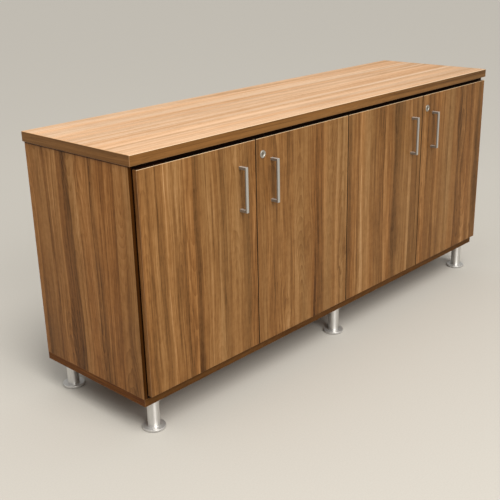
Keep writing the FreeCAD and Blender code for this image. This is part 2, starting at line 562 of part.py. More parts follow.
# --------------------------------------------------------------------- doors
# number, left edge x, hinge on the left?, lock?
DOORS = [("1", "-door_x", True, False),
         ("2", "-door_gap / 2 - door_w", False, True),
         ("3", "door_gap / 2", True, False),
         ("4", "door_x - door_w", False, True)]
for num, x0, hinge_left, locked in DOORS:
    P = "Door" + num
    label = "door_" + num
    # local frame of a door: x from its left edge, y from its face, z from its bottom edge
    free = (lambda t: "door_w - (" + t + ")") if hinge_left else (lambda t: t)
    cup_u = "cup_in" if hinge_left else "door_w - cup_in"
    pull_u = free("pull_in")
    lock_u = free("lock_in")

    b = doc.addObject("PartDesign::Body", P + "Panel")
    s = sketch(b, P + "Outline", "XZ_Plane")
    rect(s, "band_thk", "band_thk", "door_w - 2 * band_thk", "door_ht - 2 * band_thk")
    pad(b, P + "Board", s, "door_thk", True)
    s = sketch(b, P + "CupShape", "XZ_Plane", "-door_thk")
    ring(s, cup_u, "hinge_lo", "cup_hole", "lo")
    ring(s, cup_u, "hinge_hi", "cup_hole", "hi")
    pocket(b, P + "CupHoles", s, "cup_deep", True)
    s = sketch(b, P + "ThroughShape", "XZ_Plane")
    ring(s, pull_u, "pull_top", "2.1", "pa")
    ring(s, pull_u, "pull_top - pull_cc", "2.1", "pb")
    if locked:
        ring(s, lock_u, "lock_up", "barrel_rad + 0.1", "lk")
    pocket(b, P + "ThroughHoles", s)
    place(b, x0, "face_y", "door_z")
    node(b, label + "_panel")

    # edge bands: uprights run the full height, the others between them
    bands = [
        box(P + "BandL", "band_thk", "door_thk", "door_ht", x0, "face_y", "door_z"),
        box(P + "BandR", "band_thk", "door_thk", "door_ht", x0 + " + door_w - band_thk", "face_y", "door_z"),
        box(P + "BandB", "door_w - 2 * band_thk", "door_thk", "band_thk", x0 + " + band_thk", "face_y", "door_z"),
        box(P + "BandT", "door_w - 2 * band_thk", "door_thk", "band_thk", x0 + " + band_thk", "face_y",
            "door_z + door_ht - band_thk"),
    ]
    doc.recompute()
    bl, br = bands[0].Shape.BoundBox, bands[1].Shape.BoundBox
    planes = [(0, bl.XMin), (0, br.XMax), (1, bl.YMin), (1, bl.YMax), (2, bl.ZMin), (2, bl.ZMax)]
    done = [round_edges(q.Name + "Round", q, D["band_rad"], lambda e: on_planes(e, planes) >= 2) for q in bands]
    node(group(P + "Bands", done), label + "_edge_bands")

    # screws from the inside, pan head on the door's back face
    hx = x0 + " + " + pull_u
    screws = []
    for q, hz in (("a", "door_z + pull_top"), ("b", "door_z + pull_top - pull_cc")):
        head = cyl(P + "PullScrewHead" + q, "4", "2.4", hx, "face_y + door_thk + 2.4", hz, "-y")
        shank = cyl(P + "PullScrewShank" + q, "2", "26", hx, "face_y + door_thk", hz, "-y")
        screws.append(fuse(P + "PullScrew" + q, [head, shank]))
    # flat bar turned square at both ends, its arrises eased; the two feet stand on the door
    outer = box(P + "PullOuter", "bar_w", "pull_out", "pull_len", hx + " - bar_w / 2", "face_y - pull_out",
                "door_z + pull_top - pull_cc / 2 - pull_len / 2")
    inner = box(P + "PullInner", "bar_w + 2", "pull_out", "pull_len - 2 * post_w", hx + " - bar_w / 2 - 1",
                "face_y - pull_out + bar_t", "door_z + pull_top - pull_cc / 2 - pull_len / 2 + post_w")
    blank = cut(P + "PullBlank", outer, inner)
    eased = round_edges(P + "PullEased", blank, 0.8, lambda e: e.BoundBox.YMin < D["face_y"] - 0.01)
    node(cut(P + "Handle", eased, group(P + "PullDrill", screws)), label + "_handle")
    node(group(P + "PullScrews", screws), label + "_handle_screws")

    # hinge cups pressed into the door, with their flange and folded links
    cups = []
    cx = x0 + " + " + cup_u
    for q, hz in (("Lo", "door_z + hinge_lo"), ("Hi", "door_z + hinge_hi")):
        shell = cyl(P + "CupShell" + q, "cup_rad", "cup_deep - 0.5", cx, "face_y + door_thk - cup_deep + 0.5", hz, "y")
        flange = box(P + "CupFlange" + q, "15", "1.2", "58", cx + " - 7.5", "face_y + door_thk", hz + " - 29")
        flange_r = round_edges(P + "CupFlangeRound" + q, flange, 4.0, lambda e: 1.0 < e.BoundBox.YLength < 1.5)
        rim = cyl(P + "CupRim" + q, "cup_rad + 1.2", "1.2", cx, "face_y + door_thk", hz, "y")
        hollow = cyl(P + "CupHollow" + q, "cup_rad - 1.2", "cup_deep + 2", cx, "face_y + door_thk - cup_deep + 1.7", hz, "y")
        link = box(P + "CupLink" + q, "20", "8", "11", cx + " - 10", "face_y + door_thk - cup_deep + 1", hz + " - 5.5")
        shell_cut = cut(P + "CupBody" + q, fuse(P + "CupOuter" + q, [shell, flange_r, rim]), hollow)
        cups.append(fuse(P + "Cup" + q, [shell_cut, link]))
    node(group(P + "Cups", cups), label + "_hinge_cups")

    if locked:
        lx = x0 + " + " + lock_u
        lz = "door_z + lock_up"
        L = "Lock" + num
        rose = cyl(L + "Rose", "rose_rad", "2.4", lx, "face_y", lz, "-y")
        rose_r = round_edges(L + "RoseRound", rose, 1.3,
                             lambda e: abs(e.BoundBox.YMin - (D["face_y"] - 2.4)) < 1e-6 and e.BoundBox.YLength < 1e-6)
        barrel = cyl(L + "Barrel", "barrel_rad", "25", lx, "face_y", lz, "y")
        bore = cyl(L + "Bore", "core_rad + 0.05", "40", lx, "face_y - 5", lz, "y")
        mouth = cone(L + "Mouth", "7.6", "core_rad + 0.05", "1.6", lx, "face_y - 2.4", lz, "y")
        node(cut(L + "Housing", fuse(L + "Shell", [rose_r, barrel]), fuse(L + "Opening", [bore, mouth])), "lock_" + num + "_housing")
        # hexagon nut on the barrel, behind the door
        nb = doc.addObject("Part::Prism", L + "NutBlank")
        nb.Polygon = 6
        nb.Circumradius = 13.5
        nb.Height = 3.5
        nb.Placement = Placement(Vector(0, 0, 0), TURN["y"])
        place(nb, lx, "face_y + door_thk", lz)
        nbore = cyl(L + "NutBore", "barrel_rad", "6", lx, "face_y + door_thk - 1", lz, "y")
        node(cut(L + "Nut", nb, nbore), "lock_" + num + "_nut")
        # plug with its keyway, and the square tail that drives the cam
        core = cyl(L + "CoreRod", "core_rad", "25.4", lx, "face_y - 0.8", lz, "y")
        key = box(L + "KeySlot", "2.2", "9", "8.4", lx + " - 1.1", "face_y - 4.6", lz + " - 4.2")
        tail = box(L + "Tail", "6", "3.6", "6", lx + " - 3", "face_y + 24.6", lz + " - 3")
        node(fuse(L + "Core", [cut(L + "CoreCut", core, key), tail]), "lock_" + num + "_core")
        # flat cam: points away from the seam when open, up behind the strike when locked
        cam_bar = box(L + "CamBar", "cam_len", "2", "13", lx, "face_y + 25.2", lz + " - 6.5")
        cam_eye = cyl(L + "CamEye", "8.5", "2", lx, "face_y + 25.2", lz, "y")
        cam_hole = box(L + "CamHole", "6", "6", "6", lx + " - 3", "face_y + 23", lz + " - 3")
        cam = cut(L + "CamCut", fuse(L + "CamBody", [cam_bar, cam_eye]), cam_hole)
        node(cam, "lock_" + num + "_cam")
    else:
        # surface bolt that holds the leaf without a lock: case, and the bolt with its knob
        bx = x0 + " + " + free("bolt_in - door_gap / 2")
        B = "Bolt" + num
        case = box(B + "CaseBlock", "18", "16", "40", bx + " - 9", "face_y + door_thk", "728")
        case_r = round_edges(B + "CaseRound", case, 2.0, lambda e: e.BoundBox.ZLength > 30 and e.BoundBox.YMin > D["face_y"] + D["door_thk"] + 12)
        bolt_bore = cyl(B + "Bore", "bolt_rad + 0.08", "60", bx, "bolt_y", "720")
        slot = box(B + "Slot", "7", "12", "17.5", bx + " - 3.5", "bolt_y", "744")
        node(cut(B + "Case", case_r, fuse(B + "Voids", [bolt_bore, slot])), "bolt_" + num + "_case")
        rod = cyl(B + "Rod", "bolt_rad", "44", bx, "bolt_y", "733")
        rod_r = round_edges(B + "RodRound", rod, 0.8, lambda e: abs(e.BoundBox.ZMin - 777) < 1e-6 and e.BoundBox.ZLength < 1e-6)
        knob = cyl(B + "Knob", "3", "11", bx, "bolt_y", "748", "y")
        node(fuse(B + "Slider", [rod_r, knob]), "bolt_" + num + "_slider")

# ------------------------------------------------------- check and write out
doc.recompute()
problems = []
for o in doc.Objects:
    if any(flag in o.State for flag in ("Invalid", "Error")):
        problems.append("%s (%s): %s" % (o.Label, o.TypeId, o.State))
for o in NODES:
    if o.Shape.isNull() or not o.Shape.isValid():
        problems.append(o.Label + ": shape is null or not valid")
    elif not o.Shape.Solids:
        problems.append(o.Label + ": no solid")
if len(set(o.Label for o in NODES)) != len(NODES):
    problems.append("two sub-parts share a label")
if problems:
    raise RuntimeError("; ".join(problems))

os.makedirs("parts", exist_ok=True)
for old in os.listdir("parts"):
    if old.endswith(".step"):
        os.remove(os.path.join("parts", old))
for o in NODES:
    o.Shape.exportStep(os.path.join("parts", o.Label + ".step"))
total = Part.makeCompound([o.Shape for o in NODES]).BoundBox
print("nodes", len(NODES), "solids", sum(len(o.Shape.Solids) for o in NODES))
print("box x %.2f..%.2f  y %.2f..%.2f  z %.2f..%.2f" % (total.XMin, total.XMax, total.YMin, total.YMax, total.ZMin, total.ZMax))
for o in NODES:
    bb = o.Shape.BoundBox
    print("%-22s solids %2d  volume %12.1f  x %.1f..%.1f y %.1f..%.1f z %.1f..%.1f" %
          (o.Label, len(o.Shape.Solids), o.Shape.Volume, bb.XMin, bb.XMax, bb.YMin, bb.YMax, bb.ZMin, bb.ZMax))
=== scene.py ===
import math

import bpy
from mathutils import Matrix, Vector

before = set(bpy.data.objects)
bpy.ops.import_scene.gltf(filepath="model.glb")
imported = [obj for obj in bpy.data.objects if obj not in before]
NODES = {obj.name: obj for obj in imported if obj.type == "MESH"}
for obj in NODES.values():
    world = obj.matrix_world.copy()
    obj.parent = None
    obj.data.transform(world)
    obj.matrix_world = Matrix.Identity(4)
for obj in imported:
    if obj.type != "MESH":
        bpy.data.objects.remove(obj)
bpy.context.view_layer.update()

scene = bpy.context.scene
scene.view_settings.view_transform = "Standard"
scene.view_settings.look = "None"
scene.view_settings.exposure = 0.0


# ------------------------------------------------------------------ node tools
class Tree:
    """Short-hand for building one node tree."""

    def __init__(self, tree):
        self.t = tree

    def put(self, sock, value):
        if isinstance(value, bpy.types.NodeSocket):
            self.t.links.new(value, sock)
        elif value is not None:
            sock.default_value = value

    def node(self, kind, **attrs):
        n = self.t.nodes.new(kind)
        for k, v in attrs.items():
            setattr(n, k, v)
        return n

    def math(self, op, a, b=None, c=None, clamp=False):
        n = self.node("ShaderNodeMath", operation=op, use_clamp=clamp)
        for i, v in enumerate((a, b, c)):
            if v is not None:
                self.put(n.inputs[i], v)
        return n.outputs[0]

    def vmath(self, op, a, b=None, scale=None):
        n = self.node("ShaderNodeVectorMath", operation=op)
        self.put(n.inputs[0], a)
        if b is not None:
            self.put(n.inputs[1], b)
        if scale is not None:
            self.put(n.inputs["Scale"], scale)
        return n.outputs["Value"] if op in ("DOT_PRODUCT", "LENGTH", "DISTANCE") else n.outputs["Vector"]

    def xyz(self, v):
        n = self.node("ShaderNodeSeparateXYZ")
        self.put(n.inputs[0], v)
        return n.outputs[0], n.outputs[1], n.outputs[2]

    def join(self, x=0.0, y=0.0, z=0.0):
        n = self.node("ShaderNodeCombineXYZ")
        for i, v in enumerate((x, y, z)):
            self.put(n.inputs[i], v)
        return n.outputs[0]

    def noise(self, vec, scale=1.0, detail=2.0, rough=0.5, lac=2.0, distort=0.0):
        n = self.node("ShaderNodeTexNoise", noise_dimensions="3D")
        self.put(n.inputs["Vector"], vec)
        self.put(n.inputs["Scale"], scale)
        self.put(n.inputs["Detail"], detail)
        self.put(n.inputs["Roughness"], rough)
        self.put(n.inputs["Lacunarity"], lac)
        self.put(n.inputs["Distortion"], distort)
        return n.outputs["Fac"]

    def ramp(self, fac, stops, mode="LINEAR"):
        n = self.node("ShaderNodeValToRGB")
        n.color_ramp.interpolation = mode
        els = n.color_ramp.elements
        while len(els) > 1:
            els.remove(els[-1])
        els[0].position = stops[0][0]
        els[0].color = _rgba(stops[0][1])
        for pos, col in stops[1:]:
            els.new(pos).color = _rgba(col)
        self.put(n.inputs[0], fac)
        return n.outputs[0]

    def remap(self, v, a, b, c, d, clamp=True, kind="LINEAR"):
        n = self.node("ShaderNodeMapRange", clamp=clamp, interpolation_type=kind)
        self.put(n.inputs[0], v)
        for i, x in enumerate((a, b, c, d), start=1):
            self.put(n.inputs[i], x)
        return n.outputs[0]

    def mix(self, fac, a, b, kind="MIX"):
        n = self.node("ShaderNodeMix", data_type="RGBA", blend_type=kind)
        n.clamp_factor = True
        self.put(n.inputs[0], fac)
        self.put(n.inputs[6], a if isinstance(a, bpy.types.NodeSocket) else _rgba(a))
        self.put(n.inputs[7], b if isinstance(b, bpy.types.NodeSocket) else _rgba(b))
        return n.outputs[2]


def _rgba(c):
    if isinstance(c, (int, float)):
        return (c, c, c, 1.0)
    return tuple(c) + (1.0,) if len(c) == 3 else tuple(c)


def start(name):
    m = bpy.data.materials.new(name)
    m.use_nodes = True
    m.node_tree.nodes.clear()
    t = Tree(m.node_tree)
    out = t.node("ShaderNodeOutputMaterial")
    bsdf = t.node("ShaderNodeBsdfPrincipled")
    m.node_tree.links.new(bsdf.outputs[0], out.inputs[0])
    return m, t, bsdf


def bump(t, bsdf, height, dist, strength=1.0):
    n = t.node("ShaderNodeBump")
    t.put(n.inputs["Strength"], strength)
    t.put(n.inputs["Distance"], dist)
    t.put(n.inputs["Height"], height)
    t.put(bsdf.inputs["Normal"], n.outputs[0])


# ---------------------------------------------------------------- wood laminate
def grain_group():
    """Printed walnut grain. Vector is (across, along, depth) in metres.
    Tone is about 0 for the darkest streaks and 1 for the lightest; Pore is the fine relief."""
    g = bpy.data.node_groups.new("walnut_grain", "ShaderNodeTree")
    for name, kind, way in (("Vector", "NodeSocketVector", "INPUT"), ("Seed", "NodeSocketFloat", "INPUT"),
                            ("Tone", "NodeSocketFloat", "OUTPUT"), ("Pore", "NodeSocketFloat", "OUTPUT"),
                            ("Across", "NodeSocketFloat", "OUTPUT"), ("Hue", "NodeSocketFloat", "OUTPUT")):
        g.interface.new_socket(name, in_out=way, socket_type=kind)
    t = Tree(g)
    gi, go = t.node("NodeGroupInput"), t.node("NodeGroupOutput")
    u, v, w = t.xyz(gi.outputs["Vector"])
    seed = gi.outputs["Seed"]
    # slow wander of the fibres
    n1 = t.noise(t.join(t.math("MULTIPLY", u, 5.0), t.math("MULTIPLY", v, 1.5), seed), 1.0, 1.0)
    n2 = t.noise(t.join(t.math("MULTIPLY", u, 24.0), t.math("MULTIPLY", v, 6.5), t.math("ADD", seed, 31.0)), 1.0, 1.0)
    u1 = t.math("MULTIPLY_ADD", t.math("SUBTRACT", n1, 0.5), 0.030, u)
    u1 = t.math("MULTIPLY_ADD", t.math("SUBTRACT", n2, 0.5), 0.0045, u1)
    # fibres part around a few knots
    cell = t.node("ShaderNodeTexVoronoi", voronoi_dimensions="3D", feature="F1")
    kv = t.join(t.math("MULTIPLY", u, 6.4), t.math("MULTIPLY", v, 2.3), seed)
    flat = t.vmath("MULTIPLY", kv, (1.0, 1.0, 0.0))
    kv2 = t.vmath("ADD", flat, t.join(0.0, 0.0, t.math("FLOOR", seed)))
    t.put(cell.inputs["Vector"], kv2)
    t.put(cell.inputs["Scale"], 1.0)
    cell.inputs["Randomness"].default_value = 1.0
    delta = t.vmath("SUBTRACT", kv2, cell.outputs["Position"])
    dx, dy, dz = t.xyz(delta)
    r2 = t.math("ADD", t.math("MULTIPLY", dx, dx), t.math("MULTIPLY", t.math("MULTIPLY", dy, dy), 1.0))
    fall = t.math("EXPONENT", t.math("MULTIPLY", r2, -26.0))
    cr, cg, cb = t.xyz(cell.outputs["Color"])
    gate = t.remap(cr, 0.45, 0.6, 0.0, 1.0)
    knot = t.math("MULTIPLY", fall, gate)
    u2 = t.math("SUBTRACT", u1, t.math("MULTIPLY", t.math("MULTIPLY", dx, 0.10), knot))
    # broad staves, each with its own tone and a fairly crisp edge
    st = t.node("ShaderNodeTexVoronoi", voronoi_dimensions="1D", feature="SMOOTH_F1")
    st_w = t.math("ADD", t.math("MULTIPLY", u2, 19.0), t.math("MULTIPLY", seed, 7.31))
    t.put(st.inputs["W"], st_w)
    t.put(st.inputs["Scale"], 1.0)
    st.inputs["Smoothness"].default_value = 0.05
    sr, sg, sb = t.xyz(st.outputs["Color"])
    shift = t.math("MULTIPLY", sg, 6.0)

    def streak(su, sv, off, detail=1.0, rough=0.5):
        vec = t.join(t.math("MULTIPLY", u2, su), t.math("MULTIPLY_ADD", v, sv, shift), t.math("ADD", seed, off))
        return t.math("SUBTRACT", t.noise(vec, 1.0, detail, rough), 0.5)
    # growth streaks from broad and long to hair-fine and short
    layers = ((12.0, 0.80, 3.0, 0.42), (34.0, 0.75, 11.0, 0.44), (82.0, 1.6, 23.0, 0.38), (190.0, 4.0, 47.0, 0.40),
              (430.0, 11.0, 59.0, 0.42))
    acc = 0.5
    busy = t.remap(sb, 0.15, 0.85, 0.45, 1.25)
    for su, sv, off, weight in layers:
        one = streak(su, sv, off)
        if su > 50.0:
            one = t.math("MULTIPLY", one, busy)
        acc = t.math("MULTIPLY_ADD", one, weight, acc)
    # cathedral arches: growth rings cut at a shallow slope, in some of the staves only
    pith = t.math("DIVIDE", t.math("SUBTRACT", st_w, st.outputs["W"]), 19.0)
    deep = t.noise(t.join(t.math("MULTIPLY", sr, 40.0), t.math("MULTIPLY_ADD", v, 1.5, shift), t.math("ADD", seed, 71.0)), 1.0, 0.0)
    deep = t.remap(deep, 0.25, 0.75, 0.002, 0.060)
    wob = t.noise(t.join(t.math("MULTIPLY", u, 34.0), t.math("MULTIPLY", v, 9.0), t.math("ADD", seed, 37.0)), 1.0, 1.0)
    rad = t.math("SQRT", t.math("ADD", t.math("MULTIPLY", pith, pith), t.math("MULTIPLY", deep, deep)))
    rad = t.math("MULTIPLY_ADD", t.math("SUBTRACT", wob, 0.5), 0.006, rad)
    saw = t.math("FRACT", t.math("MULTIPLY", rad, 215.0))
    rings = t.math("SUBTRACT", t.math("POWER", saw, 2.0), 0.33)
    where = t.noise(t.join(t.math("MULTIPLY", sg, 30.0), t.math("MULTIPLY", v, 1.8), t.math("ADD", seed, 5.0)), 1.0, 0.0)
    where = t.math("MULTIPLY", t.remap(where, 0.42, 0.60, 0.15, 1.0), t.remap(sr, 0.40, 0.60, 0.30, 1.0))
    where = t.math("ADD", where, t.math("MULTIPLY", knot, 0.5), clamp=True)
    # soft mottling where the figure catches the eye, and ripples across the fibres
    m = t.noise(t.join(t.math("MULTIPLY", u, 26.0), t.math("MULTIPLY", v, 11.0), t.math("ADD", seed, 90.0)), 1.0, 2.0)
    rp = t.noise(t.join(t.math("MULTIPLY", u, 60.0), t.math("MULTIPLY", v, 75.0), t.math("ADD", seed, 97.0)), 1.0, 1.0)
    acc = t.math("MULTIPLY_ADD", t.math("SUBTRACT", sr, 0.5), 0.15, acc)
    acc = t.math("MULTIPLY_ADD", t.math("MULTIPLY", rings, where), -0.15, acc)
    acc = t.math("MULTIPLY_ADD", t.math("SUBTRACT", m, 0.5), 0.14, acc)
    acc = t.math("MULTIPLY_ADD", t.math("SUBTRACT", rp, 0.5), 0.12, acc)
    acc = t.math("MULTIPLY_ADD", knot, -0.08, acc)
    # thin dark veins here and there
    vn = t.noise(t.join(t.math("MULTIPLY", u2, 46.0), t.math("MULTIPLY_ADD", v, 0.55, shift), t.math("ADD", seed, 17.0)), 1.0, 0.0)
    vein = t.remap(t.math("ABSOLUTE", t.math("SUBTRACT", vn, 0.58)), 0.0, 0.035, 1.0, 0.0)
    acc = t.math("MULTIPLY_ADD", vein, -0.08, acc)
    acc = t.math("ADD", acc, 0.018)
    # pores: short fine dashes along the fibres
    p = t.noise(t.join(t.math("MULTIPLY", u2, 640.0), t.math("MULTIPLY", v, 34.0), t.math("ADD", seed, 13.0)), 1.0, 1.0)
    pore = t.remap(p, 0.56, 0.72, 0.0, 1.0)
    acc = t.math("MULTIPLY_ADD", pore, -0.13, acc)
    t.put(go.inputs["Tone"], acc)
    t.put(go.inputs["Pore"], pore)
    t.put(go.inputs["Across"], u2)
    drift = t.noise(t.join(t.math("MULTIPLY", u2, 14.0), t.math("MULTIPLY", v, 0.8), t.math("ADD", seed, 2.0)), 1.0, 1.0)
    t.put(go.inputs["Hue"], t.math("ADD", t.math("MULTIPLY", sb, 0.35), t.math("MULTIPLY", t.remap(drift, 0.30, 0.70, 0.0, 1.0), 0.65)))
    return g


GRAIN = grain_group()

def lin(*rgb):
    """Linear value of an 8-bit display colour."""
    return tuple((c / 255.0 / 12.92) if c <= 10 else ((c / 255.0 + 0.055) / 1.055) ** 2.4 for c in rgb)


def tones(stops, light, haze):
    """Paint for a surface that should show the given display colours in this scene's light."""
    return [(p, tuple(max(0.004, (c - haze) / light) for c in lin(*rgb))) for p, rgb in stops]


LIGHT, HAZE = 1.05, 0.012
WALNUT = tones([(0.00, (64, 41, 23)), (0.12, (87, 58, 33)), (0.29, (116, 80, 47)), (0.42, (134, 92, 53)), (0.50, (144, 101, 59)),
                (0.60, (156, 112, 67)), (0.72, (169, 124, 77)), (0.88, (190, 146, 98)), (1.00, (206, 166, 120))], LIGHT, HAZE)
# paler walnut tones for the top board, partly painted sheen of the overhead light
PALE = tones([(0.00, (176, 132, 92)), (0.22, (200, 157, 117)), (0.40, (218, 175, 135)), (0.50, (227, 185, 145)),
              (0.62, (235, 194, 153)), (0.80, (244, 205, 165)), (1.00, (251, 218, 182))], 1.15, 0.08)


def laminate(name, across, along, seed, colours=WALNUT, lift=0.0, contrast=1.0, profile=None, span=(0.0, 1.0),
             side_across=None, side_along=None, side_axis=0, arris=0.0, rough=0.46, tint=None, red=0.0, gloss=0.15,
             side_painted_shading=None, seam_painted_shade=None, edge_colour=(0.62, 0.42, 0.24), up_painted_shade=None, up_colours=None, top_arris_highlight=0.0,
             top_arris_highlight_colour=(0.95, 0.80, 0.56), shade_in=None, weight=1.0, stretch=None, painted_falloff=(),
             shadow_line_z=None):
    """across/along are axis letters with an optional minus. Where the face's normal lies along side_axis,
    side_across/side_along are used instead. profile is a given run of tones across the grain."""
    m, t, bsdf = start(name)
    tc = t.node("ShaderNodeTexCoord")
    geo = t.node("ShaderNodeNewGeometry")
    x, y, z = t.xyz(tc.outputs["Object"])
    axis = {"x": x, "y": y, "z": z}
    vec = t.join(axis[across], axis[along], 0.0)
    nx, ny, nz = t.xyz(geo.outputs["True Normal"])
    if side_across:
        n = t.math("ABSOLUTE", (nx, ny, nz)[side_axis])
        pick = t.math("GREATER_THAN", n, 0.72)
        vec2 = t.join(t.math("ADD", axis[side_across], 3.1), axis[side_along], 0.0)
        mx = t.node("ShaderNodeMix", data_type="VECTOR")
        t.put(mx.inputs[0], pick)
        t.put(mx.inputs[4], vec)
        t.put(mx.inputs[5], vec2)
        vec = mx.outputs[1]
    if stretch:
        vec = t.vmath("MULTIPLY", vec, stretch + (1.0,))
    g = t.node("ShaderNodeGroup", node_tree=GRAIN)
    t.put(g.inputs["Vector"], vec)
    g.inputs["Seed"].default_value = seed
    tone = g.outputs["Tone"]
    if profile:
        part = t.remap(g.outputs["Across"], span[0], span[1], 0.0, 1.0)
        drawn = t.ramp(part, profile, "LINEAR")
        tone = t.math("MULTIPLY_ADD", t.math("SUBTRACT", drawn, 0.5), weight, tone)
    tone = t.math("MULTIPLY_ADD", t.math("SUBTRACT", tone, 0.5), contrast, 0.5 + lift)
    for letter, a, b, amount in painted_falloff:
        # painted light falloff: the colour darkens, or where amount is below 0 lightens, slowly towards one side of the
        # board
        tone = t.math("SUBTRACT", tone, t.remap(axis[letter], a, b, 0.0, amount))
    col = t.ramp(tone, colours, "LINEAR")
    # drift between a greyer olive and a redder brown
    cool, warm = t.mix(1.0, col, (0.965, 1.005, 1.09), "MULTIPLY"), t.mix(1.0, col, (1.04, 0.96, 0.90), "MULTIPLY")
    col = t.mix(t.remap(g.outputs["Hue"], 0.15, 0.85, 0.0 + red, 1.0), cool, warm)
    if tint:
        col = t.mix(1.0, col, tint, "MULTIPLY")
    if side_painted_shading:
        # painted light and shade: faces turned to the side are darkened or lightened against the front faces to match
        # how they are lit
        flank = t.remap(t.math("ABSOLUTE", ny), 0.62, 0.30, 0.0, 1.0)
        shade = side_painted_shading
        if seam_painted_shade:
            # painted shade: the flanks that close against the next leaf are darkened far more than the outer ones,
            # standing for the shadow in the seam
            shade = t.mix(t.math("LESS_THAN", t.math("ABSOLUTE", x), 0.80), side_painted_shading, seam_painted_shade)
        col = t.mix(flank, col, t.mix(1.0, col, shade, "MULTIPLY"))
    if up_colours:
        # upward faces take the pale top-board tones, partly painted sheen
        up = t.remap(nz, 0.55, 0.80, 0.0, 1.0)
        col = t.mix(up, col, t.ramp(t.math("SUBTRACT", tone, lift), up_colours, "LINEAR"))
    if up_painted_shade:
        # painted shade: upward faces are darkened nearly to black, the shadow under the top board's overhang
        up = t.remap(nz, 0.90, 0.99, 0.0, 1.0)
        col = t.mix(up, col, t.mix(1.0, col, up_painted_shade, "MULTIPLY"))
    if shadow_line_z:
        # painted shadow: a thin dark band at the top of the side panel, under the top board's overhang
        line = t.remap(z, shadow_line_z, shadow_line_z + 0.0008, 0.0, 1.0)
        col = t.mix(line, col, t.mix(1.0, col, (0.30, 0.25, 0.22), "MULTIPLY"))
    if shade_in:
        # painted shade: near black where the board runs in behind the door, standing for the shadow in the gap
        inside = t.remap(t.math("ABSOLUTE", x), shade_in, shade_in - 0.0008, 0.0, 1.0)
        col = t.mix(inside, col, t.mix(1.0, col, (0.17, 0.16, 0.20), "MULTIPLY"))
    if arris:
        # the rounded arris of the band shows lighter: partly the paler cut of the band, partly a painted highlight
        ax, ay, az = t.math("ABSOLUTE", nx), t.math("ABSOLUTE", ny), t.math("ABSOLUTE", nz)
        top = t.math("MAXIMUM", ax, t.math("MAXIMUM", ay, az))
        edge = t.remap(top, 0.80, 0.97, 1.0, 0.0)
        chip = t.noise(t.vmath("MULTIPLY", tc.outputs["Object"], (60.0, 60.0, 60.0)), 1.0, 3.0, 0.6)
        edge = t.math("MULTIPLY", edge, t.remap(chip, 0.3, 0.7, 0.55, 1.0))
        col = t.mix(t.math("MULTIPLY", edge, arris), col, edge_colour)
    if top_arris_highlight:
        # painted highlight: the upper front arris is painted pale where it catches the light from above
        highlight_mask = t.math("MULTIPLY", t.remap(nz, 0.10, 0.30, 0.0, 1.0), t.remap(ny, -0.10, -0.30, 0.0, 1.0))
        col = t.mix(t.math("MULTIPLY", highlight_mask, top_arris_highlight), col, top_arris_highlight_colour)
    t.put(bsdf.inputs["Base Color"], col)
    # satin overlay: fine orange peel, slightly duller in the pores and where hands rest
    peel = t.noise(t.vmath("MULTIPLY", tc.outputs["Object"], (900.0, 900.0, 900.0)), 1.0, 1.0)
    worn = t.noise(t.vmath("MULTIPLY", tc.outputs["Object"], (3.5, 3.5, 3.5)), 1.0, 3.0, 0.55)
    r = t.remap(worn, 0.3, 0.7, rough - 0.05, rough + 0.07)
    r = t.math("MULTIPLY_ADD", g.outputs["Pore"], 0.10, r)
    t.put(bsdf.inputs["Roughness"], r)
    bsdf.inputs["Specular IOR Level"].default_value = gloss
    h = t.math("MULTIPLY_ADD", g.outputs["Pore"], -1.0, t.math("MULTIPLY", peel, 0.35))
    bump(t, bsdf, h, 0.00006, 0.6)
    return m


# --------------------------------------------------------------------- metals
def metal(name, base, rough, brush=(1.0, 1.0, 1.0), scratch=0.06, dark=0.86, height=0.00002, spots=0.0, strength=0.6,
          metallic=1.0, turned=0.0, facing_painted_light=None):
    """Plated or brushed metal. brush stretches the fine lines: a small number is the long direction."""
    m, t, bsdf = start(name)
    tc = t.node("ShaderNodeTexCoord")
    fine = t.noise(t.vmath("MULTIPLY", tc.outputs["Object"], tuple(2600.0 * b for b in brush)), 1.0, 2.0, 0.6)
    wide = t.noise(t.vmath("MULTIPLY", tc.outputs["Object"], tuple(160.0 * b for b in brush)), 1.0, 2.0, 0.5)
    smudge = t.noise(t.vmath("MULTIPLY", tc.outputs["Object"], (24.0, 24.0, 24.0)), 1.0, 3.0, 0.55)
    f = t.math("ADD", t.math("MULTIPLY", fine, 0.2), t.math("MULTIPLY", wide, 0.8))
    lo = tuple(c * dark for c in base)
    col = t.mix(t.remap(f, 0.30, 0.70, 0.0, 1.0), lo, base)
    if spots:
        col = t.mix(t.remap(smudge, 0.58, 0.75, 0.0, spots), col, tuple(c * 0.6 for c in base))
    if facing_painted_light:
        # painted light and shade: the upper faces are lightened and the flanks and undersides darkened, as the light
        # falls on them
        over, flank, under = facing_painted_light
        gx, gy, gz = t.xyz(t.node("ShaderNodeNewGeometry").outputs["True Normal"])
        col = t.mix(t.remap(gz, 0.45, 0.90, 0.0, 1.0), col, t.mix(1.0, col, over, "MULTIPLY"))
        col = t.mix(t.remap(t.math("ABSOLUTE", gx), 0.60, 0.95, 0.0, 1.0), col, t.mix(1.0, col, flank, "MULTIPLY"))
        col = t.mix(t.remap(gz, -0.45, -0.90, 0.0, 1.0), col, t.mix(1.0, col, under, "MULTIPLY"))
    t.put(bsdf.inputs["Base Color"], col)
    bsdf.inputs["Metallic"].default_value = metallic
    r = t.math("ADD", t.remap(fine, 0.3, 0.7, rough - scratch, rough + scratch), t.remap(smudge, 0.4, 0.7, 0.0, 0.05))
    t.put(bsdf.inputs["Roughness"], r)
    bump(t, bsdf, fine, height, strength)
    if turned:
        # turned on a lathe: the highlight is drawn out along the tube
        normal = t.node("ShaderNodeNewGeometry").outputs["Normal"]
        nx, ny, nz = t.xyz(normal)
        along = t.vmath("SUBTRACT", (0.0, 0.0, 1.0), t.vmath("SCALE", normal, scale=nz))
        bsdf.inputs["Anisotropic"].default_value = turned
        t.put(bsdf.inputs["Tangent"], t.vmath("NORMALIZE", along))
    return m


